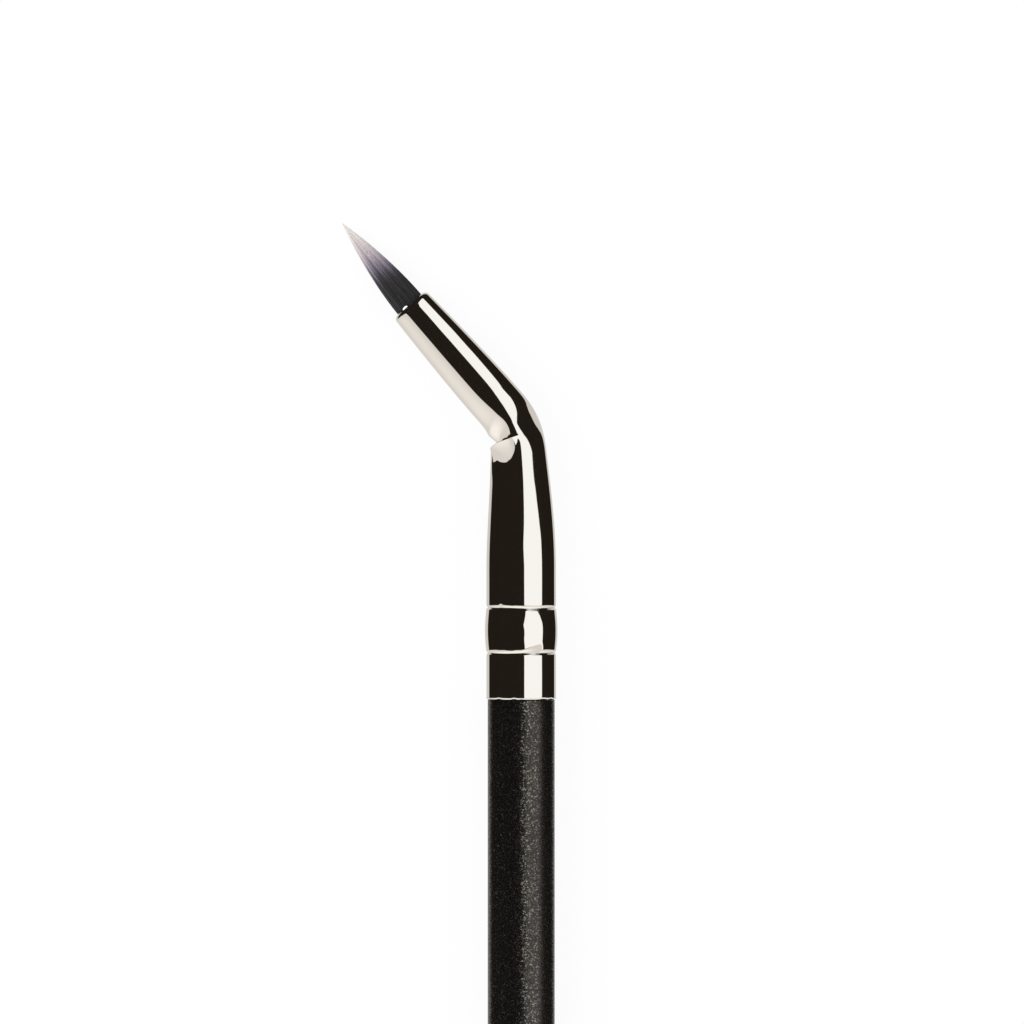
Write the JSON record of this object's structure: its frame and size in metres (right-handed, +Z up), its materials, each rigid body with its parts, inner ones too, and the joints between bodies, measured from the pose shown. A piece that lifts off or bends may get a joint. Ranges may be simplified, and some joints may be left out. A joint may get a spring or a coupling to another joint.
{
  "type": "eyeliner brush",
  "caption": "Slim eyeliner brush with a speckled black handle, a crimped, bent nickel-plated ferrule and a pointed tuft.",
  "frame": {"origin": "on the surface that the brush lies on, under the middle of its bounding box", "axes": "+Y along the handle toward the head, +Z up from the surface, and the head bends toward -X"},
  "size_m": [0.0214, 0.1696, 0.0072],
  "materials": {
    "lacquered_wood": "black satin lacquer with fine metallic specks",
    "plated_tube": "polished nickel plate",
    "filament": "black at the root, fading to off-white at the tip",
    "set_glue": "set resin, hidden"
  },
  "bodies": {
    "root": {"handle": "lacquered_wood", "ferrule": "plated_tube", "tuft": "filament", "root_glue": "set_glue"}
  },
  "joints": []
}
